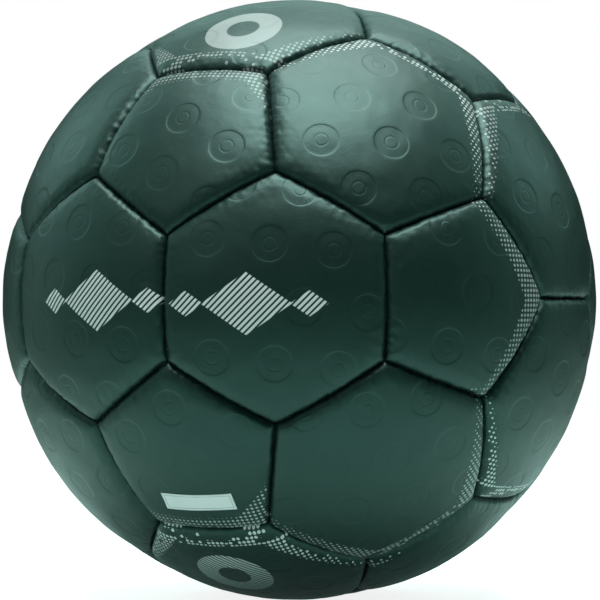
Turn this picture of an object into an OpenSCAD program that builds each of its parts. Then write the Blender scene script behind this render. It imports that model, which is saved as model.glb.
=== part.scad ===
// Size 3 handball: a sewn cover of 20 hexagons and 12 pentagons over a rubber bladder with a needle valve.
// The origin is the ball's centre, -Y is the middle of the front hexagon and +Y the valve's axis.

/* [Ball] */
// Distance round the pumped ball, over the crowns of the panels
ball_circumference = 590; // [500:5:600]
// Height of a panel's crown above the middle of its sewn edges
crown_rise = 1; // [0.6:0.1:1.4]

/* [Cover panels] */
// Thickness of the coated leather skin
skin_wall = 1.2; // [0.9:0.1:1.5]
// Outer radius of the skin where it turns down into a seam
edge_roll = 3; // [2.4:0.1:3.4]
// Slit between the two turned edges of a seam
seam_slit = 0.2; // [0.1:0.05:0.3]
// Glue film between two layers of the cover
glue_film = 0.1; // [0.05:0.05:0.2]

/* [Padding and lining] */
// Thickness of the foam at a panel's edge, where the seam squeezes it
foam_edge = 1.6; // [1.2:0.1:2.4]
// Thickness of the woven lining
lining_wall = 1; // [0.6:0.1:1.4]

/* [Sewing] */
// Diameter of the waxed thread
thread_d = 0.8; // [0.6:0.1:1]
// Play between the thread and the two turned edges that it lies on
thread_play = 0.06; // [0.04:0.01:0.1]
// Distance between the thread's end and the corner where three panels meet
thread_stop = 1.5; // [1.2:0.1:2]

/* [Bladder] */
// Wall of the rubber bladder
bladder_wall = 0.9; // [0.6:0.1:1.4]

/* [Valve stem] */
// Diameter of the stem
stem_d = 11; // [10:0.5:12]
// Distance between the stem's shoulder and the skin above it
shoulder_gap = 0.4; // [0.2:0.1:0.8]
// Diameter of the stem's nose, which stands in the round hole in the skin
nose_d = 7.4; // [7:0.1:8]
// Distance from the skin's outer face down to the nose
nose_sink = 0.5; // [0.3:0.1:0.8]
// Diameter of the flange, bonded inside the bladder
flange_d = 28; // [22:1:32]
// Thickness of the flange
flange_wall = 1.2; // [0.8:0.1:1.6]
// Rubber under the plug
stem_floor = 1.2; // [0.8:0.1:1.6]
// Diameter of the patch set into the lining round the stem
patch_d = 22; // [18:1:26]
// Play round the stem and the nose
stem_play = 0.2; // [0.1:0.05:0.3]

/* [Valve plug] */
// Diameter of the needle channel
needle_bore_d = 2; // [1.8:0.1:2.4]
// Depth of the straight needle channel
needle_bore_depth = 9; // [7:0.5:11]
// Rubber under the channel, where the needle parts a slit
plug_lip = 2.5; // [1.5:0.5:4]
// Diameter of the plug
plug_d = 4.2; // [3.8:0.1:4.6]
// Diameter of the plug's rim, which stops it at the mouth of the stem
plug_rim_d = 5.4; // [5:0.1:5.8]
// Height of the plug's rim
plug_rim_h = 1; // [0.8:0.1:1.2]
// Play round the plug
plug_play = 0.1; // [0.05:0.05:0.15]

/* [Hidden] */
$fn = 96;
phi = (1 + sqrt(5)) / 2;
hex_sides = 6;
pent_sides = 5;
ball_r = ball_circumference / (2 * PI);
overrun = 3 * ball_r;

// Edge of a truncated icosahedron of unit radius, and the turn that brings a hexagon to the front.
edge_share = 4 / sqrt(58 + 18 * sqrt(5));
front_turn = -90 - atan(1 / (phi * phi));

// Directions of the 12 pentagons, which are the corners of an icosahedron whose edge is 2.
pent_dirs = [
    for (a = [-1, 1], b = [-1, 1])
        each [[0, a, b * phi], [a, b * phi, 0], [b * phi, 0, a]]
];
function beside(a, b) = a != b && norm(pent_dirs[a] - pent_dirs[b]) < 2 * phi - 1;
// Each hexagon lies between three pentagons, and each seam of two hexagons between two.
hex_trios = [
    for (a = [0 : 11], b = [a : 11], c = [b : 11])
        if (beside(a, b) && beside(b, c) && beside(a, c)) [a, b, c]
];
pent_pairs = [for (a = [0 : 11], b = [a : 11]) if (beside(a, b)) [a, b]];

function unit(v) = v / norm(v);
function hex_dir(i) =
    unit(pent_dirs[hex_trios[i][0]] + pent_dirs[hex_trios[i][1]] + pent_dirs[hex_trios[i][2]]);
function turned_y(v) = v[0] * sin(front_turn) + v[1] * cos(front_turn);
valve_hex = [for (i = [0 : 19]) if (turned_y(hex_dir(i)) > 0.99) i][0];
plain_hexes = [for (i = [0 : 19]) if (i != valve_hex) i];

// Angle seen from the centre between a panel's axis and the middle of its side, and half a side's angle.
function spread(sides) = asin(edge_share / (2 * tan(180 / sides)) / sqrt(1 - pow(edge_share / 2, 2)));
half_side = asin(edge_share / 2);

// A panel's crown is part of a ball a little smaller than the whole, so that it rises between the seams.
function crown_r(sides) =
    let (
        edge_r = ball_r - crown_rise,
        rise = ball_r - edge_r * cos(spread(sides)),
        reach = edge_r * sin(spread(sides))
    )
    (rise * rise + reach * reach) / (2 * rise);
function crown_up(sides) = ball_r - crown_r(sides);
function crown_along(sides) = crown_up(sides) * cos(spread(sides));

// The middle of the rolled edge, along the plane of the seam and across it, from the crown's centre.
function roll_across(sides) = seam_slit / 2 + edge_roll - crown_up(sides) * sin(spread(sides));
function roll_along(sides) = sqrt(pow(crown_r(sides) - edge_roll, 2) - pow(roll_across(sides), 2));
// The roll's cutter stands this far out, so that it crosses the crown and the side at a slight angle.
roll_bite = 0.04;
roll_sweep = 36;

// Layers from the outside inwards. The seams press the cover to the bladder, so its inside is a true ball.
foam_floor_r = ball_r - crown_rise - skin_wall - glue_film - foam_edge;
lining_r = foam_floor_r - glue_film;
lining_in_r = lining_r - lining_wall;
bladder_r = lining_in_r - glue_film;
bladder_in_r = bladder_r - bladder_wall;

// The thread lies in the groove over the slit, where it touches both rolls but for its play.
thread_lift = sqrt(pow(edge_roll + thread_d / 2 + thread_play, 2) - pow(edge_roll + seam_slit / 2, 2));
function roll_top(sides) = crown_along(sides) + roll_along(sides);
thread_ring_r = max(roll_top(hex_sides), roll_top(pent_sides)) - crown_along(hex_sides) + thread_lift;

// Heights along the valve's axis.
nose_top = ball_r - nose_sink;
shoulder_top = ball_r - skin_wall - shoulder_gap;
plug_bottom = nose_top - needle_bore_depth - plug_lip;
stem_bottom = plug_bottom - stem_floor;
nose_window_d = nose_d + 2 * stem_play;

function pad2(n) = n < 10 ? str("0", n) : str(n);
function hex_name(k) = str("hexagon_panel_", pad2(k + 1));
function pent_name(k) = str("pentagon_panel_", pad2(k + 1));

// Puts its children with +Z along out and +X on the side of toward, in the ball's frame.
module facing(out, toward) {
    z = unit(out);
    y = unit(cross(z, toward));
    x = cross(y, z);
    rotate([0, 0, front_turn])
        multmatrix([
            [x[0], y[0], z[0], 0],
            [x[1], y[1], z[1], 0],
            [x[2], y[2], z[2], 0],
            [0, 0, 0, 1]
        ])
            children();
}

// A hexagon's +X points at a pentagon, over the middle of a side.
module at_hexagon(i) facing(hex_dir(i), pent_dirs[hex_trios[i][0]]) children();

// A pentagon's corners point at the pentagons round it, so +X is turned half a side from one of them.
module at_pentagon(i) {
    nearest = [for (j = [0 : 11]) if (beside(i, j)) j][0];
    facing(pent_dirs[i], pent_dirs[nearest]) rotate([0, 0, 180 / pent_sides]) children();
}

// Sides of a panel: +X runs out to the side's middle, +Z is square to the seam's plane, into the panel.
module at_side(sides, k)
    rotate([0, 0, k * 360 / sides]) rotate([0, spread(sides) - 90, 0]) children();

module at_sides(sides) for (k = [1 : sides]) at_side(sides, k) children();

// A ball with its poles away from the panel's face.
module true_ball(r) rotate([0, 90, 0]) sphere(r);

module bore_out(d) cylinder(h = overrun, d = d);

// Everything beyond the plane of one side.
module beyond_side(inset)
    translate([-overrun / 2, -overrun / 2, seam_slit / 2 + inset - overrun]) cube(overrun);

// What the roll takes off along one side: a bar bent round the crown's centre, with a hollow inner face.
module beyond_roll(sides, inset) {
    reach = 3 * edge_roll;
    slant = unit([roll_along(sides), roll_across(sides)]) * reach;
    translate([crown_along(sides), 0, crown_up(sides) * sin(spread(sides))])
        rotate([0, 0, -roll_sweep / 2])
            rotate_extrude(angle = roll_sweep)
                translate([roll_along(sides) + roll_bite, roll_across(sides) - roll_bite])
                    difference() {
                        polygon([[0, 0], [0, -reach], [reach, -reach], slant]);
                        circle(edge_roll - inset);
                    }
}

// A panel's pillowed form, from its face down to the centre, drawn in on every side by inset. Its sides
// are cut first, and then rolled one after another.
module rolled_form(sides, inset, rolls) {
    difference() {
        if (rolls > 0)
            rolled_form(sides, inset, rolls - 1);
        else
            translate([0, 0, crown_up(sides)]) true_ball(crown_r(sides) - inset);
        if (rolls > 0)
            at_side(sides, rolls) beyond_roll(sides, inset);
        else
            at_sides(sides) beyond_side(inset);
    }
}

module panel_form(sides, inset) rolled_form(sides, inset, sides);

// The skin is a tray, turned down at every side as far as the bladder.
module skin(sides) {
    color("darkslategray")
        difference() {
            panel_form(sides, 0);
            panel_form(sides, skin_wall);
            true_ball(lining_in_r);
        }
}

// The foam fills the tray, thick under the crown and thin at the sides.
module foam_pad(sides) {
    color("dimgray")
        difference() {
            panel_form(sides, skin_wall + glue_film);
            true_ball(foam_floor_r);
        }
}

// The lining is cloth, cut to the panel's outline inside the turned edges.
module lining(sides) {
    color("beige")
        difference() {
            true_ball(lining_r);
            at_sides(sides) beyond_side(skin_wall + glue_film);
            true_ball(lining_in_r);
        }
}

module hexagon_panel(i) at_hexagon(i) skin(hex_sides);

module pentagon_panel(i) at_pentagon(i) skin(pent_sides);

module valve_panel() {
    color("darkslategray")
        at_hexagon(valve_hex)
            difference() {
                skin(hex_sides);
                bore_out(nose_window_d);
            }
}

module hexagon_foam_pads() for (i = plain_hexes) at_hexagon(i) foam_pad(hex_sides);

module pentagon_foam_pads() for (i = [0 : 11]) at_pentagon(i) foam_pad(pent_sides);

module valve_foam_pad() {
    color("dimgray")
        at_hexagon(valve_hex)
            difference() {
                foam_pad(hex_sides);
                bore_out(stem_d + 2 * stem_play);
            }
}

module hexagon_linings() for (i = plain_hexes) at_hexagon(i) lining(hex_sides);

module pentagon_linings() for (i = [0 : 11]) at_pentagon(i) lining(pent_sides);

module valve_lining() {
    color("beige")
        at_hexagon(valve_hex)
            difference() {
                lining(hex_sides);
                bore_out(patch_d + 2 * stem_play);
            }
}

// A disc of cloth as thick as the lining, which spreads the stem's push over the cover.
module valve_patch() {
    color("ivory")
        at_hexagon(valve_hex)
            difference() {
                intersection() {
                    true_ball(lining_r);
                    bore_out(patch_d);
                }
                true_ball(lining_in_r);
                bore_out(stem_d + 2 * stem_play);
            }
}

// One seam's thread, bent in the plane of a hexagon's side, which +X and +Y span.
module seam_thread() {
    reach = crown_along(hex_sides) + thread_ring_r;
    sweep = 2 * asin((reach * sin(half_side) - thread_stop) / thread_ring_r);
    color("black")
        translate([crown_along(hex_sides), 0, 0])
            rotate([0, 0, -sweep / 2])
                rotate_extrude(angle = sweep) translate([thread_ring_r, 0]) circle(d = thread_d);
}

// A seam of two hexagons runs from one pentagon to the next, in the plane of both their directions.
module hexagon_seam_threads() {
    for (pair = pent_pairs) {
        a = pent_dirs[pair[0]];
        b = pent_dirs[pair[1]];
        facing(cross(a, b), a + b) seam_thread();
    }
}

// Each pentagon is sewn round by five threads.
module pentagon_seam_threads() {
    for (i = [0 : 11]) at_pentagon(i) at_sides(pent_sides) seam_thread();
}

module bladder() {
    color("black")
        at_hexagon(valve_hex)
            difference() {
                true_ball(bladder_r);
                true_ball(bladder_in_r);
                bore_out(stem_d + 2 * stem_play);
            }
}

// The stem is one rubber moulding: the flange inside the bladder, the body and the nose.
module valve_stem() {
    color("dimgray")
        at_hexagon(valve_hex)
            difference() {
                union() {
                    intersection() {
                        difference() {
                            true_ball(bladder_in_r - glue_film);
                            true_ball(bladder_in_r - glue_film - flange_wall);
                        }
                        bore_out(flange_d);
                    }
                    translate([0, 0, stem_bottom]) cylinder(h = shoulder_top - stem_bottom, d = stem_d);
                    translate([0, 0, stem_bottom]) cylinder(h = nose_top - stem_bottom, d = nose_d);
                }
                translate([0, 0, plug_bottom - plug_play]) bore_out(plug_d + 2 * plug_play);
                translate([0, 0, nose_top - plug_rim_h - plug_play]) bore_out(plug_rim_d + 2 * plug_play);
                bore_out(needle_bore_d);
            }
}

// The plug is pushed into the stem and holds the needle channel, which ends above the slit lip.
module valve_plug() {
    color("black")
        at_hexagon(valve_hex)
            difference() {
                union() {
                    translate([0, 0, plug_bottom]) cylinder(h = nose_top - plug_bottom, d = plug_d);
                    translate([0, 0, nose_top - plug_rim_h]) cylinder(h = plug_rim_h, d = plug_rim_d);
                }
                translate([0, 0, nose_top - needle_bore_depth]) bore_out(needle_bore_d);
            }
}

for (k = [0 : 18]) hexagon_panel(plain_hexes[k]);
for (k = [0 : 11]) pentagon_panel(k);
valve_panel();
valve_foam_pad();
valve_lining();
valve_patch();
valve_stem();
valve_plug();
hexagon_foam_pads();
pentagon_foam_pads();
hexagon_linings();
pentagon_linings();
hexagon_seam_threads();
pentagon_seam_threads();
bladder();
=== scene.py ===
import math

import bmesh
import bpy
import numpy as np
from mathutils import Matrix, Vector


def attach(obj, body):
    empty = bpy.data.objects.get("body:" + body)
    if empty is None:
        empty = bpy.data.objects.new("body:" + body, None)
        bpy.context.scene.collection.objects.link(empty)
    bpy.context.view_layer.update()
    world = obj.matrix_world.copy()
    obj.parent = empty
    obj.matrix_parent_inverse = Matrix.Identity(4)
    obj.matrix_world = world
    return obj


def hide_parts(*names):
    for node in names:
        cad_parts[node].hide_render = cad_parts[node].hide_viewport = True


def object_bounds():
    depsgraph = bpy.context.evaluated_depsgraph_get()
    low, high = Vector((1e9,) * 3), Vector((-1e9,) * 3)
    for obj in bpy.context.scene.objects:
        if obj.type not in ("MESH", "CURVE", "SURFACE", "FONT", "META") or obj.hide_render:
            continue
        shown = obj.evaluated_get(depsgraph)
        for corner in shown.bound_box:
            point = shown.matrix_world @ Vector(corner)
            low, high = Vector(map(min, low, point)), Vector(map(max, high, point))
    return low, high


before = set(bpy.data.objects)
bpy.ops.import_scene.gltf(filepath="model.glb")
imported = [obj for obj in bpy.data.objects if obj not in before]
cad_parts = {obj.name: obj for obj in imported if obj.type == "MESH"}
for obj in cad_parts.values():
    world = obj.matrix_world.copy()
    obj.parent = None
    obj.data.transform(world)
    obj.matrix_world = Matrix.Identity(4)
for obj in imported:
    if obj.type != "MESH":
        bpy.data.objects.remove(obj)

cad_low, cad_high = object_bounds()
MM = 0.001


# The bladder: a seamless ball of black butyl rubber, dipped and cured. The cover shuts it in all
# round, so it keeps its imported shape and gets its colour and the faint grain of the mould.
class Finish:
    """A material as it is made up: plain values sit on its shader, and patterns are wired to it."""

    def __init__(self, name, color, roughness, specular=0.5):
        self.material = bpy.data.materials.new(name)
        self.material.use_nodes = True
        self.tree = self.material.node_tree
        self.shader = self.tree.nodes["Principled BSDF"]
        self.shader.inputs["Base Color"].default_value = (*color, 1)
        self.shader.inputs["Roughness"].default_value = roughness
        self.shader.inputs["Specular IOR Level"].default_value = specular

    def add(self, kind, inputs=(), **settings):
        """A node with its settings. An input is a value, or the output of another node."""
        made = self.tree.nodes.new("ShaderNode" + kind)
        for key, value in settings.items():
            setattr(made, key, value)
        for socket, value in dict(inputs).items():
            if isinstance(value, bpy.types.NodeSocket):
                self.tree.links.new(value, made.inputs[socket])
            else:
                made.inputs[socket].default_value = value
        return made

    def calc(self, operation, *terms, clamp=False):
        """One step of arithmetic on numbers and outputs."""
        return self.add("Math", enumerate(terms), operation=operation, use_clamp=clamp).outputs[0]

    def ease(self, value, low, high):
        """0 where the value is under low, 1 where it is over high, and a soft step between."""
        inputs = {"Value": value, "From Min": low, "From Max": high}
        return self.add("MapRange", inputs, interpolation_type="SMOOTHSTEP").outputs["Result"]

    def blend(self, factor, under, over):
        """A colour that goes from under to over as the factor goes from 0 to 1."""
        made = self.add("Mix", {"Factor": factor}, data_type="RGBA")
        for socket, color in (("A", under), ("B", over)):
            target = [i for i in made.inputs if i.name == socket and i.type == "RGBA"][0]
            if isinstance(color, bpy.types.NodeSocket):
                self.tree.links.new(color, target)
            else:
                target.default_value = (*color, 1)
        return [o for o in made.outputs if o.type == "RGBA"][0]

    def noise(self, place, size_mm, detail=3.0, seed=0.0):
        """Even noise whose bumps are about that many millimetres apart."""
        inputs = {"Vector": place, "Scale": 1 / (size_mm * MM), "Detail": detail}
        if seed:
            inputs["Vector"] = self.add("VectorMath", {0: place, 1: (seed, seed, seed)}).outputs[0]
        return self.add("TexNoise", inputs).outputs["Fac"]

    def raise_by(self, height, depth_mm, strength=1.0, under=None):
        """A bump of that depth, on top of another bump if one is given."""
        inputs = {"Height": height, "Distance": depth_mm * MM, "Strength": strength}
        if under is not None:
            inputs["Normal"] = under
        return self.add("Bump", inputs).outputs["Normal"]

    def set(self, **sockets):
        """Wires outputs to the shader's sockets."""
        for socket, value in sockets.items():
            self.tree.links.new(value, self.shader.inputs[socket.replace("_", " ")])


def grained(name, color, roughness, grain_mm, depth_mm, mottle=0.2):
    """Rubber, foam or cloth: an even colour mottled a little, with a fine grain."""
    made = Finish(name, color, roughness)
    place = made.add("TexCoord").outputs["Object"]
    patches = made.noise(place, grain_mm * 12, 2)
    darker, lighter = ([c * (1 + change) for c in color] for change in (-mottle, mottle))
    made.set(
        Base_Color=made.blend(patches, darker, lighter),
        Normal=made.raise_by(made.noise(place, grain_mm, 4), depth_mm, 0.7),
    )
    return made.material


def dress(node, material):
    """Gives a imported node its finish."""
    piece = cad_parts[node]
    piece.data.materials.clear()
    piece.data.materials.append(material)


dress("bladder", grained("butyl_rubber", (0.015, 0.015, 0.016), 0.45, 1.2, 0.05))


# The linings and the foam: woven cotton glued under soft closed foam, one of each to every panel.
# Both lie inside the turned edges of the skin and don't show. The patch round the stem is cotton too.
WEAVE_SCALE = 320.0
lining_cloth = Finish("woven_lining", (0.5, 0.46, 0.36), 0.9, 0.2)
weave_place = lining_cloth.add("TexCoord").outputs["Object"]
weave = {"Vector": weave_place, "Scale": WEAVE_SCALE}
weft = lining_cloth.add("TexWave", weave, bands_direction="X").outputs["Fac"]
warp = lining_cloth.add("TexWave", weave, bands_direction="Z").outputs["Fac"]
woven = lining_cloth.calc("MAXIMUM", weft, warp)
lining_cloth.set(
    Base_Color=lining_cloth.blend(woven, (0.34, 0.31, 0.24), (0.56, 0.52, 0.42)),
    Normal=lining_cloth.raise_by(woven, 0.15),
)
for node in ("hexagon_linings", "pentagon_linings", "valve_lining"):
    dress(node, lining_cloth.material)
dress("valve_patch", grained("patch_cloth", (0.62, 0.6, 0.53), 0.9, 0.5, 0.1))
foam = grained("closed_foam", (0.1, 0.1, 0.1), 0.85, 0.4, 0.15)
for node in ("hexagon_foam_pads", "pentagon_foam_pads", "valve_foam_pad"):
    dress(node, foam)


# The cover: 20 hexagons and 12 pentagons of coated leather over foam. Each is cut flat, embossed, printed,
# sewn inside out along its turned edge and then pumped up, so it stands as a pillow between its seams.
BALL_R = -cad_low[1] / MM
CROWN_RISE = 1.0
EDGE_R = BALL_R - CROWN_RISE
ROLL = 1.9
ROLL_STEPS = 9
SLIT = 0.1
FLANGE = 2.0
PHI = (1 + math.sqrt(5)) / 2
SIDE_SHARE = 4 / math.sqrt(58 + 18 * math.sqrt(5))
HALF_SIDE = math.asin(SIDE_SHARE / 2)
STITCHES = 16
FRONT_TURN = Matrix.Rotation(math.radians(-90) - math.atan(1 / PHI**2), 3, "Z")


def unit(v):
    v = np.asarray(v, float)
    return v / np.linalg.norm(v)


def panel_places():
    """Every panel's node, number of sides and frame, whose columns are two ways across and its axis."""
    corners = []
    for a in (-1, 1):
        for b in (-1, 1):
            corners += [(0, a, b * PHI), (a, b * PHI, 0), (b * PHI, 0, a)]
    corners = np.array(corners) @ np.array(FRONT_TURN).T
    gaps = np.linalg.norm(corners[:, None] - corners[None], axis=2)
    beside = (gaps > 0.1) & (gaps < 2.1)
    trios = [
        (a, b, c) for a in range(12) for b in range(a, 12) for c in range(b, 12)
        if beside[a, b] and beside[b, c] and beside[a, c]
    ]
    places, plain = [], 0
    for trio in trios:
        axis = unit(corners[list(trio)].sum(axis=0))
        if axis[1] > 0.99:
            name = "valve_panel"
        else:
            plain += 1
            name = f"hexagon_panel_{plain:02d}"
        places.append((name, 6, axis, corners[trio[0]], 0.0))
    for i in range(12):
        nearest = corners[int(np.argmax(beside[i]))]
        places.append((f"pentagon_panel_{i + 1:02d}", 5, unit(corners[i]), nearest, math.pi / 5))
    made = []
    for name, sides, axis, toward, turn in places:
        x = unit(toward - (toward @ axis) * axis)
        y = np.cross(axis, x)
        first = x * math.cos(turn) + y * math.sin(turn)
        made.append((name, sides, np.column_stack([first, np.cross(axis, first), axis])))
    return made


class Pattern:
    """The cut of one kind of panel: how far it spreads, its crown, and a flat blank of small triangles."""

    def __init__(self, sides, rows, window=0.0):
        self.window = window
        self.apothem = math.cos(math.pi / sides)
        self.spread = math.asin(SIDE_SHARE / (2 * math.tan(math.pi / sides)) / math.cos(HALF_SIDE))
        rise = BALL_R - EDGE_R * math.cos(self.spread)
        self.crown_r = (rise**2 + (EDGE_R * math.sin(self.spread)) ** 2) / (2 * rise)
        self.crown_up = BALL_R - self.crown_r
        self.turns = 2 * math.pi * np.arange(sides) / sides
        self.outward = np.array([np.cos(self.turns), np.sin(self.turns)])
        rolled = ROLL + SLIT - ROLL * np.cos(np.linspace(0, math.pi / 2, ROLL_STEPS + 1))
        middle = EDGE_R * math.sin(self.spread)
        even = np.linspace(rolled[-1], middle, rows - ROLL_STEPS + 1)[1:]
        self.row_gaps = np.concatenate([rolled, even])
        self.hub = int(np.argmin(np.abs(middle - self.row_gaps[::-1] - window))) / rows if window else 0.0
        self.blank = self.cut(sides, rows)
        flat = np.array([v.co[:] for v in self.blank.verts])
        self.flange = flat[:, 2] < -0.5
        self.local = self.spread_out(flat[:, :2], rows)

    def cut(self, sides, rows):
        """A flat panel of even triangles, with its rim and the rim of its window folded down once."""
        blank = bmesh.new()
        bmesh.ops.create_circle(blank, cap_ends=True, cap_tris=True, segments=sides, radius=1)
        side_first = Matrix.Rotation(math.pi / sides - math.pi / 2, 3, "Z")
        bmesh.ops.rotate(blank, verts=blank.verts, matrix=side_first)
        bmesh.ops.subdivide_edges(blank, edges=blank.edges[:], cuts=rows - 1, use_grid_fill=True)
        inside = [v for v in blank.verts if self.share(np.array([v.co[:2]]))[0] < self.hub - 0.3 / rows]
        bmesh.ops.delete(blank, geom=inside, context="VERTS")
        bmesh.ops.recalc_face_normals(blank, faces=blank.faces)
        if sum(f.normal.z for f in blank.faces) < 0:
            bmesh.ops.reverse_faces(blank, faces=blank.faces)
        rim = [e for e in blank.edges if e.is_boundary]
        folded = bmesh.ops.extrude_edge_only(blank, edges=rim)["geom"]
        fold = [v for v in folded if isinstance(v, bmesh.types.BMVert)]
        bmesh.ops.translate(blank, verts=fold, vec=(0, 0, -1))
        return blank

    def share(self, flat):
        """How far out a place on the flat panel is: 0 in its middle and 1 on its rim."""
        return np.max(flat @ self.outward, axis=1) / self.apothem

    def reach(self, share, rows):
        """How far out the row that lies there comes on the ball."""
        gap = np.interp((1 - share) * rows, np.arange(rows + 1), self.row_gaps)
        return np.tan(self.spread - np.arcsin(np.clip(gap / EDGE_R, -1, 1)))

    def spread_out(self, flat, rows):
        """Directions from the ball's centre, with the rows of triangles gathered where the edge rolls."""
        share = self.share(flat)
        reach = self.reach(share, rows)
        scale = reach / np.maximum(share, 1e-6) / self.apothem
        if self.window:
            far = np.maximum(np.hypot(flat[:, 0], flat[:, 1]), 1e-9)
            rounder = np.clip((0.6 - share) / (0.6 - self.hub), 0, 1)
            rounder = rounder**2 * (3 - 2 * rounder)
            true = math.tan(self.window / EDGE_R) / self.reach(np.array([self.hub]), rows)[0]
            scale = scale * (1 - rounder) + reach * true / far * rounder
        out = np.column_stack([flat * scale[:, None], np.ones(len(flat))])
        return out / np.linalg.norm(out, axis=1)[:, None]

    def crown(self, local):
        """The height of the pumped crown over the ball's centre, without the roll of its edges."""
        up = self.crown_up * local[:, 2]
        return up + np.sqrt(self.crown_r**2 - self.crown_up**2 + up**2)


def rumple(points, wave, seed):
    """Smooth unevenness about one wave long, from about -1 to 1, the same on both sides of a seam."""
    chance = np.random.default_rng(seed)
    total = np.zeros(len(points))
    for _ in range(12):
        along = unit(chance.normal(size=3)) * 2 * math.pi / (wave * chance.uniform(0.7, 1.5))
        total += np.sin(points @ along + chance.uniform(0, 2 * math.pi))
    return total / 3


# What the maker's hand and the pressure do to the leather, in millimetres: how deep each goes and how far
# from the seam it reaches. The rings are stamped in rows, with one more in the middle of every four.
PULL, PULL_REACH = 0.16, 1.3
PUCKER, PUCKER_REACH = 0.07, 4
DRAW, DRAW_REACH = 0.75, 2.8
CREASE, CREASE_REACH, CREASE_WAVE = 0.08, 3, 3.2
SLACK, SLACK_WAVE = 0.045, 13
FINE_SLACK, FINE_SLACK_WAVE = 0.012, 6
UNEVEN, UNEVEN_MIDDLE, UNEVEN_WAVE = 0.09, 0.02, 4
SOFT_WAVE = 16
STAMP_ACROSS, STAMP_DOWN = 21.0, 31.2
STAMP_R, STAMP_DEPTH, STAMP_SLOPE = 5.4, 0.075, 0.22
WINDOW_R, WINDOW_ROUND = 3.9, 0.6
TALLER = 0.014


class Leather:
    """Where one panel's leather lies over given directions, in its own frame, in millimetres."""

    def __init__(self, pattern, frame_of, local, stamps):
        spread = pattern.spread
        crown = pattern.crown(local)
        self.world = local @ frame_of.T
        out = np.hypot(local[:, 0], local[:, 1])
        theta = np.arctan2(out, local[:, 2])
        self.flat = local[:, :2] * (BALL_R * theta / np.maximum(out, 1e-9))[:, None]
        rolled, drawn, pinched = np.zeros(len(local)), np.zeros(len(local)), np.zeros(len(local))
        self.gaps, self.shares = [], []
        softness = 0.5 + 0.5 * rumple(self.world * BALL_R, SOFT_WAVE, 5)
        own_place = self.world * BALL_R + 50 * frame_of[:, 2]
        uneven = UNEVEN_MIDDLE + UNEVEN * rumple(own_place, UNEVEN_WAVE, 41)
        for turn in pattern.turns:
            side = local[:, 0] * math.cos(turn) + local[:, 1] * math.sin(turn)
            across = -local[:, 0] * math.sin(turn) + local[:, 1] * math.cos(turn)
            gap = crown * (math.sin(spread) * local[:, 2] - math.cos(spread) * side)
            middle = math.sin(spread) * side + math.cos(spread) * local[:, 2]
            share = np.arctan2(across, middle) / (2 * HALF_SIDE) + 0.5
            lap = np.clip(ROLL + SLIT - gap + uneven, 0, ROLL)
            rolled += (ROLL - np.sqrt(ROLL**2 - lap**2)) ** 3
            near = np.clip(12 * (0.5 - np.abs(share - 0.5)), 0, 1)
            stitch = math.pi * share * STITCHES
            pull = np.sin(stitch) ** 2 * PULL * np.exp(-((gap / PULL_REACH) ** 2))
            pucker = np.sin(stitch / 2 + 2 * softness) ** 2 * PUCKER * np.exp(-gap / PUCKER_REACH)
            pinched += near * (pull + pucker) * np.clip(0.4 + softness, 0, 1.6)
            drawn += np.exp(-3 * (gap / DRAW_REACH) ** 2)
            self.gaps.append(gap)
            self.shares.append(share)
        nearest = np.min(self.gaps, axis=0)
        creases = rumple(self.world * BALL_R, CREASE_WAVE, 11) * np.exp(-nearest / CREASE_REACH) * CREASE
        slack = rumple(self.world * BALL_R, SLACK_WAVE, 21) * SLACK
        slack += rumple(self.world * BALL_R, FINE_SLACK_WAVE, 31) * FINE_SLACK
        turn = math.radians(stamps[0])
        upright = np.array([[math.cos(turn), -math.sin(turn)], [math.sin(turn), math.cos(turn)]])
        self.stamps = (self.flat - np.array(stamps[1:])) @ upright / np.array([STAMP_ACROSS, STAMP_DOWN])
        sunk = 0.0
        for shift in (0, 0.5):
            off = self.stamps - shift
            off = (off - np.round(off)) * np.array([STAMP_ACROSS, STAMP_DOWN])
            past_ring = np.linalg.norm(off, axis=1) - STAMP_R
            sunk = sunk + STAMP_DEPTH / (1 + np.exp(past_ring / STAMP_SLOPE))
        lip = 0.0
        if pattern.window:
            lip = np.clip(WINDOW_ROUND - (BALL_R * theta - pattern.window), 0, WINDOW_ROUND)
        window_roll = WINDOW_ROUND - np.sqrt(WINDOW_ROUND**2 - lip**2)
        self.r = crown - np.cbrt(rolled) - DRAW * np.cbrt(drawn) - pinched
        self.r += creases + slack - sunk - window_roll
        self.r *= 1 + TALLER * self.world[:, 2] ** 2


# The camera, set so that the ball's seams lie on those of the photo: its angles in degrees, its distance in
# radii of the ball. It also places what is read from the photo, as pixels of a picture 600 pixels wide.
PHOTO_PX = 600
FOCAL_PX = 3110
CAMERA_FAR = 10.5
CAMERA_AZIMUTH, CAMERA_TILT, CAMERA_ROLL = (math.radians(angle) for angle in (4.92, 90.43, -0.15))
CAMERA_AIM = Matrix.Rotation(CAMERA_AZIMUTH, 3, "Z") @ Matrix.Rotation(CAMERA_TILT, 3, "X")
CAMERA_TURN = CAMERA_AIM @ Matrix.Rotation(CAMERA_ROLL, 3, "Z")
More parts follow.
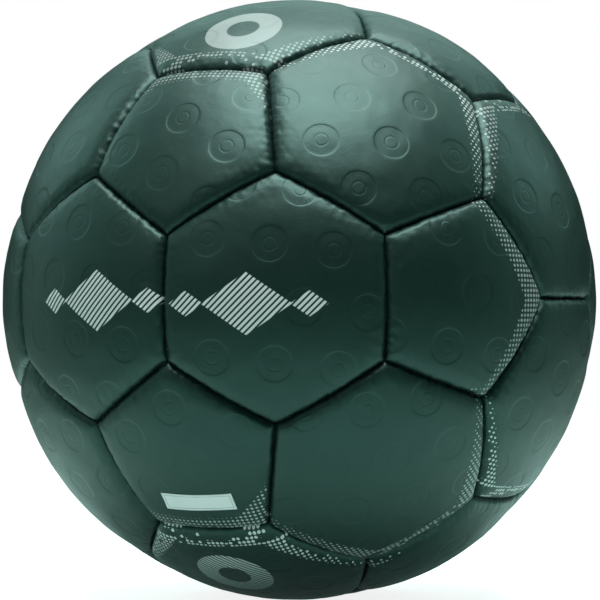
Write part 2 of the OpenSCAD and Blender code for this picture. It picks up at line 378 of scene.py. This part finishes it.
# The rings of the panels in view, read from the photo: one ring, another on the same panel, and how many
# places on that one stands, along the row and across the rows. One panel shows a single ring.
RINGS_PX = {
    "hexagon_panel_05": ((70, 436), None, (1, 0)),
    "hexagon_panel_10": ((72, 146), (126, 91), (1, 0)),
    "hexagon_panel_12": ((201, 40.7), (256, 55), (1, 0)),
    "hexagon_panel_13": ((537, 354), (541, 438), (0, 1)),
    "hexagon_panel_15": ((526, 195), (542, 245), (0.5, 0.5)),
    "hexagon_panel_16": ((392, 459), (414, 502), (0.5, 0.5)),
    "hexagon_panel_17": ((121, 226), (122, 350), (1.5, -0.5)),
    "hexagon_panel_18": ((274, 364), (269, 241), (1.5, -0.5)),
    "hexagon_panel_19": ((391, 142), (420, 104.4), (0.5, 0.5)),
    "pentagon_panel_06": ((234, 432), (127, 436), (1.5, 0.5)),
    "pentagon_panel_11": ((448, 346), (448, 230), (1.5, -0.5)),
    "pentagon_panel_12": ((161, 172), (229, 144), (1, 0)),
}
# The print's rows of dots are square on one side of the panel, and its ink covers more or less. This is
# partly the print's own density and partly painted shade: the ink is set fainter on the panels at the top,
# where the overhead lamps light it strongly.
# A stroke of dots runs along a side: its number, then its width and the size of its dots at both ends.
# A stroke without them is a band of broken rows.
PRINTS = {
    "hexagon_panel_04": (4, 1.0, [(3, 1.5, 7, 0.6, 1), (4,), (5, 7, 1.5, 1, 0.6)]),
    "hexagon_panel_12": (2, 0.3, [(1, -2, 8, 0.7, 1), (2,), (3, 6.5, 1.5, 1, 0.6)]),
    "hexagon_panel_13": (4, 0.85, [(3, 1.5, 6, 0.6, 1), (4,)]),
    "hexagon_panel_15": (2, 0.38, [(2,), (3, 7, 2.2, 0.9, 0.6)]),
    "hexagon_panel_16": (2, 0.54, [(1, 4, 7.5, 0.5, 1), (2,), (3, 8, 3.5, 1, 0.5)]),
    "hexagon_panel_17": (1, 1.0, []),
    "hexagon_panel_18": (2, 1.0, []),
    "hexagon_panel_19": (0, 0.6, [(5, 4.2, 7.5, 0.45, 1), (0,), (1, 8, 2, 1, 0.5)]),
    "pentagon_panel_06": (0, 0.62, [(0, 6, 6, 0.75, 0.75), (1, 11, -11, 0.85, 0.55), (4, -20, 8, 0.5, 0.6)]),
    "pentagon_panel_07": (3, 0.8, [(3, -5, 4.5, 0.6, 0.8)]),
    "pentagon_panel_11": (2, 0.5, [(4, 3.5, 9.5, 0.65, 1), (0, 9.5, 5.5, 1, 0.6), (3, -9, 4, 0.5, 0.6)]),
    "pentagon_panel_12": (4, 0.3, [(4, 6, 6, 0.85, 0.85), (3, -8, 8, 0.6, 1), (0, 8, -12, 0.7, 0.6)]),
}
# Larger printed shapes: kind, place in pixels of the photo, half width, half height and turn.
# For a ring or a disc the half height is the radius of its hole.
MARKS = {
    "hexagon_panel_04": [("ring", (235, 572), 12, 5, 0)],
    "hexagon_panel_12": [("disc", (243, 30), 12, 5, 0)],
    "hexagon_panel_17": [("lozenge", (95, 300), 13.6, 9.2, 60)],
    "hexagon_panel_18": [("lozenge", (245, 303), 13.6, 9.2, 120)],
}
LOZENGE_PARTS = ((0, 1), (-1.36, 0.42), (1.36, 0.42))
DOT_PITCH = 1.5
FADE = 1.0
BROKEN_BAND = 6.6
SEAM_MARGIN = 0.9
VALVE_STAMPS = (10, 10.9, 0)


def on_panel(frame_of, pixel):
    """Where a pixel of the photo lies on a panel, in millimetres from its middle."""
    turn = np.array(CAMERA_TURN)
    eye = np.array(CAMERA_AIM) @ (0, 0, CAMERA_FAR)
    middle = (PHOTO_PX - 1) / 2
    way = turn @ unit((pixel[0] - middle, middle - pixel[1], -FOCAL_PX))
    ahead = -(way @ eye)
    local = frame_of.T @ (eye + (ahead - math.sqrt(ahead**2 - eye @ eye + 1)) * way)
    return BALL_R * math.atan2(math.hypot(local[0], local[1]), local[2]) * unit(local[:2])


def stamp_rows(name, frame_of, chance):
    """How far the rows of rings are turned on a panel, in degrees, and the place of one ring."""
    loose = (chance.uniform(0, 180), chance.uniform(-10, 10), chance.uniform(-10, 10))
    if name == "valve_panel":
        return VALVE_STAMPS
    if name not in RINGS_PX:
        return loose
    one, other, step = RINGS_PX[name]
    place = on_panel(frame_of, one)
    if other is None:
        return (0, *place)
    way = on_panel(frame_of, other) - place
    turn = math.atan2(way[1], way[0]) - math.atan2(step[1] * STAMP_DOWN, step[0] * STAMP_ACROSS)
    return (math.degrees(turn), *place)


def side_way(sides, frame_of, side):
    """The way from a panel's middle to the middle of one of its sides."""
    turn = 2 * math.pi * side / sides
    return frame_of @ np.array([math.cos(turn), math.sin(turn), 0])


def with_far_side(places):
    """The print repeats on the far side of the ball, where every panel has one that faces the other way."""
    prints, marks = dict(PRINTS), {}
    for name, sides, frame_of in places:
        if name not in PRINTS:
            continue
        own = MARKS.get(name, [])
        marks[name] = [(kind, on_panel(frame_of, pixel), *sizes) for kind, pixel, *sizes in own]
        other, _, turned = min(places, key=lambda place: place[2][:, 2] @ frame_of[:, 2])
        if other in PRINTS:
            continue
        match = {}
        for side in range(sides):
            way = side_way(sides, frame_of, side)
            match[side] = min(range(sides), key=lambda k: side_way(sides, turned, k) @ way)
        square_on, cover, strokes = PRINTS[name]
        strokes = [(match[side], *(ends[k] for k in (1, 0, 3, 2) if ends)) for side, *ends in strokes]
        prints[other] = (match[square_on], cover, strokes)
        marks[other] = []
        for kind, spot, width, height, turn in marks[name] if other != "valve_panel" else []:
            spot = turned.T @ -(frame_of @ np.array([*spot, 0]))
            turn = math.radians(turn)
            way = turned.T @ (frame_of @ np.array([math.cos(turn), math.sin(turn), 0]))
            turn = math.degrees(math.atan2(way[1], way[0]))
            marks[other].append((kind, tuple(spot[:2]), width, height, turn))
    return prints, marks


def printed(leather, pattern, print_of, marks_of):
    """The print's place on the leather, and where it has dots, hatching and solid colour."""
    square_on, cover, strokes = print_of
    turn = pattern.turns[square_on]
    upright = np.array([[math.cos(turn), -math.sin(turn)], [math.sin(turn), math.cos(turn)]])
    dots, kept = np.zeros(len(leather.flat)), np.zeros(len(leather.flat))
    for side, *ends in strokes:
        share, gap = np.clip(leather.shares[side], 0, 1), leather.gaps[side]
        if ends:
            width, size = (one + (two - one) * share for one, two in (ends[:2], ends[2:]))
            size = size * np.clip((width - gap) / FADE + 1, 0, 1)
            keep = np.interp(gap, (1, 3.2), (0.55, 1.0))
        else:
            size = np.clip((BROKEN_BAND - gap) / 0.3, 0, 1)
            keep = np.interp(gap, (1, 3.2, 4.2, 5, 6), (0.05, 0.14, 0.45, 0.72, 0.85))
        size = size * np.clip((gap - SEAM_MARGIN) / 0.3, 0, 1)
        kept = np.where(size > dots, keep, kept)
        dots = np.maximum(dots, size)
    shapes = {"hatched": np.full(len(dots), -5.0), "solid": np.full(len(dots), -5.0)}
    for kind, spot, width, height, turned in marks_of:
        turned = math.radians(turned)
        off = leather.flat - np.array(spot)
        x = off[:, 0] * math.cos(turned) + off[:, 1] * math.sin(turned)
        y = -off[:, 0] * math.sin(turned) + off[:, 1] * math.cos(turned)
        if kind == "lozenge":
            for shift, size in LOZENGE_PARTS:
                x_part = np.abs(x - shift * width) / (width * size)
                y_part = np.abs(y) / (height * size)
                inside = (1 - x_part - y_part) * size * width * height / math.hypot(width, height)
                shapes["hatched"] = np.maximum(shapes["hatched"], inside)
        else:
            out = np.hypot(x, y)
            target = "solid" if kind == "disc" else "hatched"
            shapes[target] = np.maximum(shapes[target], np.minimum(width - out, out - height))
    fields = {"dots": dots, "kept": kept, "cover": np.full(len(dots), cover), **shapes}
    return leather.flat @ upright / DOT_PITCH, fields


def cut_and_sewn(name, blank, leather, pattern, prints, material):
    """A copy of the flat blank laid over the ball, with its maps and its leather."""
    mesh = blank.copy()
    mesh.name = name
    depth = np.where(pattern.flange, FLANGE, 0.0)
    points = leather.world * (leather.r - depth)[:, None] * MM
    mesh.vertices.foreach_set("co", points.ravel())
    mesh.update()
    mesh.shade_smooth()
    corner = np.zeros(len(mesh.loops), dtype=np.int64)
    mesh.loops.foreach_get("vertex_index", corner)
    print_place, fields = printed(leather, pattern, *prints)
    for layer, place in (("cut", leather.flat / 100), ("stamps", leather.stamps), ("print", print_place)):
        mesh.uv_layers.new(name=layer).data.foreach_set("uv", place[corner].ravel())
    for field, values in fields.items():
        mesh.attributes.new(field, "FLOAT", "POINT").data.foreach_set("value", values)
    mesh.materials.append(material)
    piece = bpy.data.objects.new(name, mesh)
    bpy.context.scene.collection.objects.link(piece)
    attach(piece, "root")
    return piece


HIDE_DARK, HIDE_LIGHT = (0.0028, 0.0121, 0.0093), (0.0035, 0.0139, 0.0109)
HIDE_MIDDLE = (0.0031, 0.013, 0.0101)
COAT_TINT = (0.563, 1.0, 0.9, 1)
INK = (0.57, 0.61, 0.6)
INNER_RING_R = 2.0
HATCH_PER_DOT = 0.772
leather_finish = Finish("coated_leather", HIDE_MIDDLE, 0.42, 0.5)
leather_finish.shader.inputs["Specular Tint"].default_value = COAT_TINT
skin_place = leather_finish.add("TexCoord").outputs["Object"]
stamp_map = leather_finish.add("UVMap", uv_map="stamps").outputs["UV"]
print_map = leather_finish.add("UVMap", uv_map="print").outputs["UV"]
CELL_MIDDLE = (0.5, 0.5, 0)
to_ring = []
for shift in (0.5, 0.0):
    moved = leather_finish.add("VectorMath", {0: stamp_map, 1: (shift, shift, 0)}, operation="ADD").outputs[0]
    cell = leather_finish.add("VectorMath", {0: moved}, operation="FRACTION").outputs[0]
    off = leather_finish.add("VectorMath", {0: cell, 1: CELL_MIDDLE}, operation="SUBTRACT").outputs[0]
    span = (STAMP_ACROSS, STAMP_DOWN, 0)
    off = leather_finish.add("VectorMath", {0: off, 1: span}, operation="MULTIPLY").outputs[0]
    to_ring.append(leather_finish.add("VectorMath", {0: off}, operation="LENGTH").outputs["Value"])
ring = leather_finish.calc("MINIMUM", *to_ring)
inner = leather_finish.calc("ABSOLUTE", leather_finish.calc("SUBTRACT", ring, INNER_RING_R))
relief = leather_finish.calc(
    "ADD",
    leather_finish.calc("MULTIPLY", leather_finish.ease(ring, STAMP_R - 0.3, STAMP_R + 0.25), 0.6),
    leather_finish.calc("MULTIPLY", leather_finish.ease(inner, 0.1, 0.5), 0.4),
)
cell = leather_finish.add("VectorMath", {0: print_map}, operation="FRACTION").outputs[0]
from_dot = leather_finish.add("VectorMath", {0: cell, 1: CELL_MIDDLE}, operation="DISTANCE").outputs["Value"]
which = leather_finish.add("VectorMath", {0: print_map}, operation="FLOOR").outputs[0]
luck = leather_finish.add("TexWhiteNoise", {"Vector": which}, noise_dimensions="2D").outputs["Value"]
kept = leather_finish.add("Attribute", attribute_name="kept").outputs["Fac"]
there = leather_finish.ease(leather_finish.calc("SUBTRACT", kept, luck), -0.02, 0.03)
blots = leather_finish.noise(skin_place, 3, 2, 4.0)
patchy = leather_finish.add("MapRange", {"Value": blots, "To Min": 0.32, "To Max": 0.44})
wanted_dots = leather_finish.add("Attribute", attribute_name="dots").outputs["Fac"]
dot_size = leather_finish.calc("MULTIPLY", wanted_dots, patchy.outputs["Result"])
dot_size = leather_finish.calc("MULTIPLY", dot_size, there)
dots = leather_finish.ease(leather_finish.calc("SUBTRACT", dot_size, from_dot), -0.02, 0.06)
print_xy = leather_finish.add("SeparateXYZ", {0: print_map}).outputs
slant = leather_finish.calc("SUBTRACT", print_xy[0], print_xy[1])
slant = leather_finish.calc("MULTIPLY", slant, HATCH_PER_DOT)
line = leather_finish.calc("PINGPONG", slant, 0.5)
hatching = leather_finish.calc(
    "MULTIPLY",
    leather_finish.ease(line, 0.17, 0.25),
    leather_finish.ease(leather_finish.add("Attribute", attribute_name="hatched").outputs["Fac"], -0.1, 0.2),
)
solid = leather_finish.ease(leather_finish.add("Attribute", attribute_name="solid").outputs["Fac"], -0.1, 0.2)
ink = leather_finish.calc("MAXIMUM", leather_finish.calc("MAXIMUM", dots, hatching), solid)
mottle = leather_finish.noise(skin_place, 14, 3)
hide = leather_finish.blend(mottle, HIDE_DARK, HIDE_LIGHT)
# How much of the ink shows on each panel. This is partly the print's density and partly painted shade, which
# makes the ink fainter on the top panels.
ink_cover_and_shade = leather_finish.add("Attribute", attribute_name="cover").outputs["Fac"]
ink = leather_finish.calc("MULTIPLY", ink, ink_cover_and_shade)
grain = leather_finish.noise(skin_place, 0.55, 5, 1.0)
pores = leather_finish.add("TexVoronoi", {"Vector": skin_place, "Scale": 1 / (0.8 * MM)}).outputs["Distance"]
grain = leather_finish.calc("ADD", grain, leather_finish.calc("MULTIPLY", pores, 0.5))
fine = leather_finish.raise_by(grain, 0.035, 0.6)
wrinkled = leather_finish.raise_by(leather_finish.noise(skin_place, 3.5, 3, 2.0), 0.1, 0.5, fine)
worn = leather_finish.noise(skin_place, 5, 4, 3.0)
rough = leather_finish.add("MapRange", {"Value": worn, "To Min": 0.38, "To Max": 0.48})
leather_finish.set(
    Base_Color=leather_finish.blend(ink, hide, INK),
    Roughness=rough.outputs["Result"],
    Normal=leather_finish.raise_by(relief, 0.09, 1.0, wrinkled),
)

ROWS = 96
places = panel_places()
prints, marks = with_far_side(places)
patterns = {"hexagon": Pattern(6, ROWS), "pentagon": Pattern(5, ROWS), "valve": Pattern(6, ROWS, WINDOW_R)}
blanks = {}
for cut, pattern in patterns.items():
    blanks[cut] = bpy.data.meshes.new(f"{cut}_blank")
    pattern.blank.to_mesh(blanks[cut])
chance = np.random.default_rng(3)
stamp_places = {}
for name, sides, frame_of in places:
    stamp_places[name] = stamp_rows(name, frame_of, chance)
    cut = name.split("_")[0]
    pattern = patterns[cut]
    leather = Leather(pattern, frame_of, pattern.local, stamp_places[name])
    wanted = (prints.get(name, (0, 1.0, [])), marks.get(name, []))
    cover = cut_and_sewn(f"{name}_cover", blanks[cut], leather, pattern, wanted, leather_finish.material)
    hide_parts(name)
for blank in blanks.values():
    bpy.data.meshes.remove(blank)


# The label: a blank strip of white label stock with a thin printed frame, stuck flat on the leather of one
# pentagon, just inside the print's rows of dots.
LABEL_HALF_LENGTH, LABEL_HALF_WIDTH, LABEL_WALL = 11.7, 3.2, 0.1
LABEL_LIFT = 0.12
LABEL_FRAME_IN = 0.8
STOCK_WHITE, FRAME_GREY = (0.65, 0.66, 0.66), (0.36, 0.38, 0.38)
LABEL_ENDS_PX = ((161, 499.5), (237, 500.4))
name, sides, frame_of = [place for place in places if place[0] == "pentagon_panel_06"][0]
label_left, label_right = (on_panel(frame_of, pixel) for pixel in LABEL_ENDS_PX)
label_way, label_place = label_right - label_left, (label_left + label_right) / 2
label = bmesh.new()
bmesh.ops.create_grid(label, x_segments=60, y_segments=18, size=1)
bmesh.ops.scale(label, verts=label.verts, vec=(LABEL_HALF_LENGTH, LABEL_HALF_WIDTH, 1))
rule = np.array([v.co[:2] for v in label.verts])
label_turn = Matrix.Rotation(math.atan2(label_way[1], label_way[0]), 3, "Z")
bmesh.ops.rotate(label, verts=label.verts, matrix=label_turn)
bmesh.ops.translate(label, verts=label.verts, vec=(*label_place, 0))
flat = np.array([v.co[:2] for v in label.verts])
theta = np.linalg.norm(flat, axis=1) / BALL_R
local = np.column_stack([flat * (np.sin(theta) / (theta * BALL_R))[:, None], np.cos(theta)])
under = Leather(patterns["pentagon"], frame_of, local, stamp_places[name])
for vert, way, r in zip(label.verts, under.world, under.r):
    vert.co = way * (r + LABEL_LIFT) * MM
label.normal_update()
if sum(f.normal.dot(f.calc_center_median()) for f in label.faces) < 0:
    bmesh.ops.reverse_faces(label, faces=label.faces)
mesh = bpy.data.meshes.new("label")
label.to_mesh(mesh)
corner = np.zeros(len(mesh.loops), dtype=np.int64)
mesh.loops.foreach_get("vertex_index", corner)
mesh.uv_layers.new(name="rule").data.foreach_set("uv", rule[corner].ravel())
mesh.shade_smooth()
stock = Finish("label_stock", STOCK_WHITE, 0.4, 0.4)
rule_xy = stock.add("SeparateXYZ", {0: stock.add("UVMap", uv_map="rule").outputs["UV"]}).outputs
edge = stock.calc(
    "MINIMUM",
    stock.calc("SUBTRACT", LABEL_HALF_LENGTH, stock.calc("ABSOLUTE", rule_xy[0])),
    stock.calc("SUBTRACT", LABEL_HALF_WIDTH, stock.calc("ABSOLUTE", rule_xy[1])),
)
off_line = stock.calc("ABSOLUTE", stock.calc("SUBTRACT", edge, LABEL_FRAME_IN))
frame_line = stock.ease(off_line, 0.08, 0.16)
paper_place = stock.add("TexCoord").outputs["Object"]
stock.set(
    Base_Color=stock.blend(frame_line, FRAME_GREY, STOCK_WHITE),
    Normal=stock.raise_by(stock.noise(paper_place, 0.8, 3), 0.03, 0.4),
)
mesh.materials.append(stock.material)
sticker = bpy.data.objects.new("label", mesh)
bpy.context.scene.collection.objects.link(sticker)
wall = sticker.modifiers.new("stock", "SOLIDIFY")
wall.thickness = LABEL_WALL * MM
wall.offset = -1
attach(sticker, "root")


# The seams: each is sewn with one waxed thread, which runs along the bottom of the groove and crosses it
# in tight stitches, which pull the turned edges in. None lies at the corners, where three seams meet.
THREAD_R = 0.3
THREAD_DEEP, STITCH_DEEP = 1.5, 1.05
THREAD_SHARE = 0.97
STITCH_SIZE = (0.6, 0.2, 0.28)
BARE_CHANCE = 0.06


def seams(places):
    """Each seam once: its middle, the way along it, the way across it and the panel on its first side."""
    found = []
    for index, (name, sides, frame_of) in enumerate(places):
        for side in range(sides):
            spread = patterns[name.split("_")[0]].spread
            way = side_way(sides, frame_of, side)
            middle = way * math.sin(spread) + frame_of[:, 2] * math.cos(spread)
            across = way * math.cos(spread) - frame_of[:, 2] * math.sin(spread)
            beyond = unit(middle + 0.2 * across)
            other = max(range(len(places)), key=lambda k: places[k][2][:, 2] @ beyond)
            if index < other:
                found.append((middle, np.cross(frame_of[:, 2], way), across, index, other))
    return found


def sewn_seam(middle, along, across, edge_r, chance):
    """The running thread of one seam with its stitches."""
    cloth = bmesh.new()
    low = (edge_r - ROLL - THREAD_DEEP) * MM
    half = HALF_SIDE * THREAD_SHARE
    at = np.identity(4)
    start = math.cos(half) * middle - math.sin(half) * along
    at[:3, 0], at[:3, 1], at[:3, 2], at[:3, 3] = start, across, np.cross(start, across), start * low
    ply = bmesh.ops.create_circle(
        cloth, cap_ends=False, segments=6, radius=THREAD_R * MM, matrix=Matrix(at),
    )["verts"]
    loop = list({e for v in ply for e in v.link_edges})
    turned = 1 if np.cross(across, middle) @ along > 0 else -1
    spun = bmesh.ops.spin(
        cloth, geom=ply + loop, cent=(0, 0, 0), axis=Vector(across * turned), angle=2 * half, steps=20,
    )["geom_last"]
    for end in (loop, [g for g in spun if isinstance(g, bmesh.types.BMEdge)]):
        bmesh.ops.contextual_create(cloth, geom=end)
    for stitch in range(1, STITCHES - 1):
        angle = ((stitch + 0.5) / STITCHES - 0.5) * 2 * HALF_SIDE
        up = math.cos(angle) * middle + math.sin(angle) * along
        for axis, (way, size) in enumerate(zip((across, np.cross(up, across), up), STITCH_SIZE)):
            at[:3, axis] = way * size * MM
        at[:3, 3] = up * (edge_r - ROLL - STITCH_DEEP) * (1 + TALLER * up[2] ** 2) * MM
        made = bmesh.ops.create_uvsphere(
            cloth, u_segments=8, v_segments=5, radius=1, matrix=Matrix(at),
        )["verts"]
        if chance.uniform() < BARE_CHANCE:
            for face in {f for v in made for f in v.link_faces}:
                face.material_index = 1
    bmesh.ops.recalc_face_normals(cloth, faces=cloth.faces)
    mesh = bpy.data.meshes.new("seam")
    cloth.to_mesh(mesh)
    return mesh


waxed = grained("waxed_thread", (0.006, 0.016, 0.013), 0.95, 0.25, 0.06)
bare = grained("bare_thread", (0.1, 0.17, 0.15), 0.95, 0.25, 0.06)
cloths = {"hexagon_seam_threads": bmesh.new(), "pentagon_seam_threads": bmesh.new()}
chance = np.random.default_rng(9)
for middle, along, across, first, second in seams(places):
    five = [k for k in (first, second) if places[k][1] == 5]
    kind = patterns["pentagon" if five else "hexagon"]
    edge_r = kind.crown(np.array([[math.sin(kind.spread), 0, math.cos(kind.spread)]]))[0]
    seam = sewn_seam(middle, along, across, edge_r, chance)
    cloths["pentagon_seam_threads" if five else "hexagon_seam_threads"].from_mesh(seam)
    bpy.data.meshes.remove(seam)
for node, cloth in cloths.items():
    mesh = bpy.data.meshes.new(f"{node}_sewn")
    cloth.to_mesh(mesh)
    mesh.shade_smooth()
    mesh.materials.append(waxed)
    mesh.materials.append(bare)
    sewn = bpy.data.objects.new(f"{node}_sewn", mesh)
    bpy.context.scene.collection.objects.link(sewn)
    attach(sewn, "root")
    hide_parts(node)


# The valve: one black rubber stem, moulded with its flange, and a soft plug pressed into it that the pump's
# needle goes through. Only the nose and the plug's rim show, a little below the skin.
dress("valve_stem", grained("valve_rubber", (0.03, 0.03, 0.032), 0.5, 0.5, 0.05))
dress("valve_plug", grained("plug_rubber", (0.05, 0.05, 0.052), 0.55, 0.4, 0.05))


# The studio: a sheet of pale paper as floor and background, a long lens far off, and large soft lamps, most
# of them overhead. The paper is white to the camera, toned green close to the ball, and dark farther off,
# so that the rims and the underside of the ball take the tones of the photo.
# Close to the ball the paper also glows green for glossy rays. It is no lamp, so this is a painted reflection
# that brightens the ball's underside and lower rims.
PAPER, PAPER_FAR = (0.6, 0.8, 0.75), (0.2, 0.27, 0.25)
PAINTED_GLOW_TINT, WHITE = (0.6, 0.92, 0.84), (1, 1, 1)
PAINTED_GLOW = 0.17
HORIZON_RISE = 0.15
bpy.ops.mesh.primitive_plane_add(size=60, location=(0, 0, -BALL_R * MM))
floor = bpy.context.object
floor.name = "floor"
paper = Finish("pale_paper", PAPER, 0.9, 0.0)
seen = paper.add("LightPath").outputs
floor_place = paper.add("TexCoord").outputs["Object"]
far = paper.add("VectorMath", {0: floor_place}, operation="LENGTH").outputs["Value"]
bright = paper.calc("MULTIPLY_ADD", paper.ease(far, 0.3, 1.2), HORIZON_RISE, 1 - HORIZON_RISE)
# Painted reflection: how strongly the paper glows for glossy rays. It is full up to 0.15 m from the ball and
# gone from 0.35 m on.
painted_glow = paper.calc("MULTIPLY_ADD", paper.ease(far, 0.15, 0.35), -PAINTED_GLOW, PAINTED_GLOW)
paper.set(
    Base_Color=paper.blend(paper.ease(far, 0.12, 0.32), PAPER, PAPER_FAR),
    Emission_Color=paper.blend(seen["Is Camera Ray"], PAINTED_GLOW_TINT, WHITE),
    Emission_Strength=paper.calc(
        "MULTIPLY_ADD", seen["Is Camera Ray"], bright, paper.calc("MULTIPLY", seen["Is Glossy Ray"], painted_glow)
    ),
)
floor.data.materials.append(paper.material)

lens = bpy.data.cameras.new("camera")
lens.sensor_width = 36
lens.lens = FOCAL_PX / PHOTO_PX * lens.sensor_width
lens.clip_end = 200
camera = bpy.data.objects.new("camera", lens)
camera.rotation_euler = CAMERA_TURN.to_euler()
camera.location = CAMERA_AIM @ Vector((0, 0, CAMERA_FAR * BALL_R * MM))
bpy.context.scene.collection.objects.link(camera)
bpy.context.scene.camera = camera


def softbox(name, toward, distance, width, height, power, color=WHITE):
    """A soft studio light that shines on the ball from that side."""
    lamp = bpy.data.lights.new(name, "AREA")
    lamp.color = color
    lamp.shape = "RECTANGLE"
    lamp.size, lamp.size_y = width, height
    lamp.energy = power
    box = bpy.data.objects.new(name, lamp)
    box.location = Vector(toward).normalized() * distance
    box.rotation_euler = Vector(toward).to_track_quat("Z", "Y").to_euler()
    bpy.context.scene.collection.objects.link(box)


PALE, COOL = (0.9, 1.0, 0.985), (0.62, 1.0, 0.92)
softbox("overhead", (0.09, 0.02, 1), 1.0, 0.95, 0.85, 17.5, PALE)
softbox("overhead_left", (-0.25, 0.0, 1), 1.0, 0.4, 0.6, 1.3, PALE)
softbox("overhead_front", (0.05, -0.45, 1), 1.1, 0.8, 0.4, 9.6)
softbox("high_back", (0.0, 0.8, 0.6), 1.2, 1.0, 0.5, 2.2, COOL)
softbox("high_left", (-0.75, 0.5, 0.6), 1.1, 0.6, 0.6, 1.4, COOL)
softbox("high_right", (0.75, 0.5, 0.6), 1.1, 0.6, 0.6, 1.5, COOL)
softbox("left_wall", (-1, 0.2, 0.35), 1.3, 1.4, 1.2, 3.2, COOL)
softbox("right_wall", (1, 0.2, 0.35), 1.3, 1.4, 1.2, 1.8, COOL)
softbox("front_left", (-0.6, -0.6, 0.5), 1.3, 0.9, 0.9, 1.9)

world = bpy.data.worlds.new("studio")
bpy.context.scene.world = world
world.use_nodes = True
sky = world.node_tree
glow = sky.nodes["Background"]
seen = sky.nodes.new("ShaderNodeLightPath")
glow.inputs["Color"].default_value = (*WHITE, 1)
sky.links.new(seen.outputs["Is Camera Ray"], glow.inputs["Strength"])
bpy.context.scene.view_settings.view_transform = "Standard"
